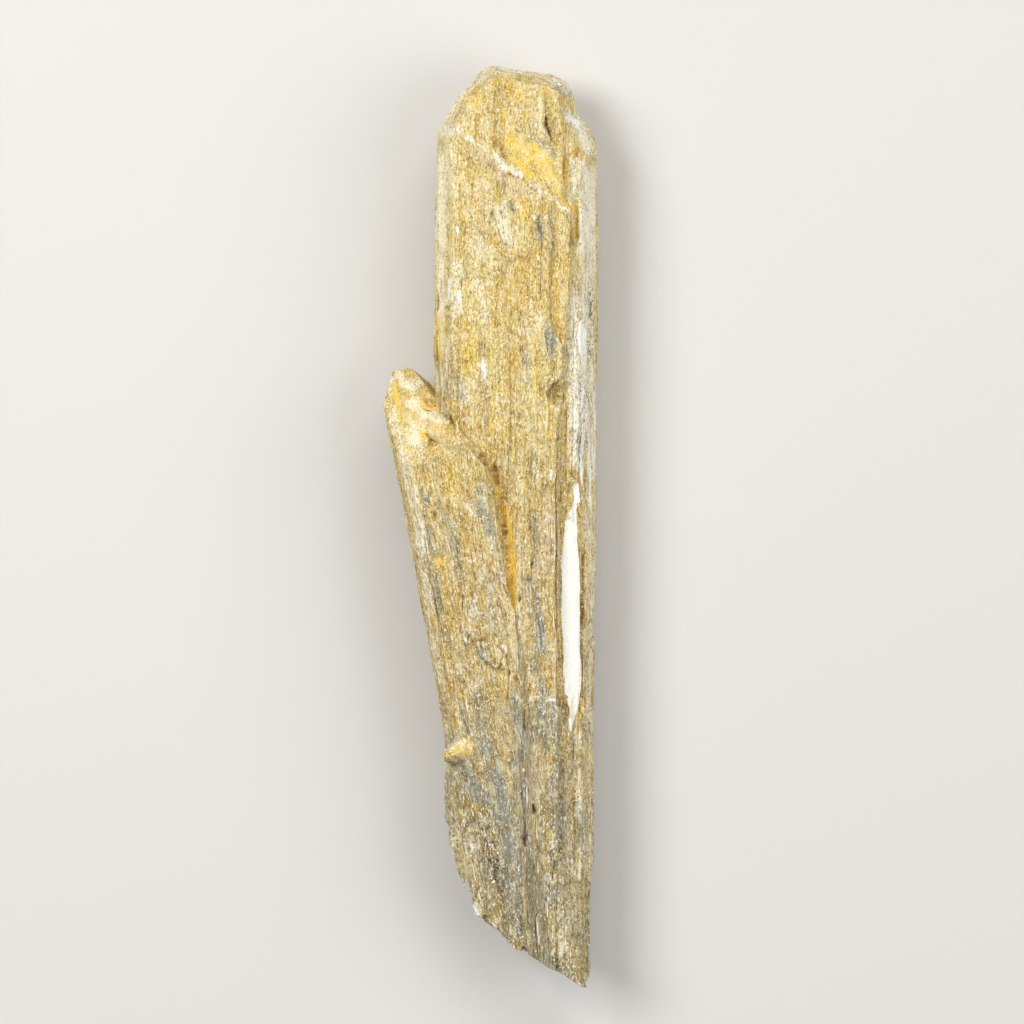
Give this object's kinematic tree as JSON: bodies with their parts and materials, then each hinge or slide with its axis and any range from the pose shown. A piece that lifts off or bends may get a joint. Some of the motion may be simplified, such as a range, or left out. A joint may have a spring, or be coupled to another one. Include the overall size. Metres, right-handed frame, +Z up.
{
  "type": "stibnite specimen",
  "caption": "Long striated prismatic crystal altered to straw-yellow antimony ochre, with a smaller prism grown on its left side, lying on its back.",
  "frame": {"origin": "middle of the specimen's bounding box in X and Y, on the plane of the flat back face that it rests on", "axes": "+Y along the main prism towards its tip, +X to the right as seen from the front, +Z up out of the front face"},
  "size_m": [0.0304, 0.1306, 0.0173],
  "materials": {
    "antimony_ochre": "matte, fibrous, straw-yellow antimony ochre with ochre and blue-grey streaks"
  },
  "bodies": {
    "root": {"stibnite_crystals": "antimony_ochre"}
  },
  "joints": []
}
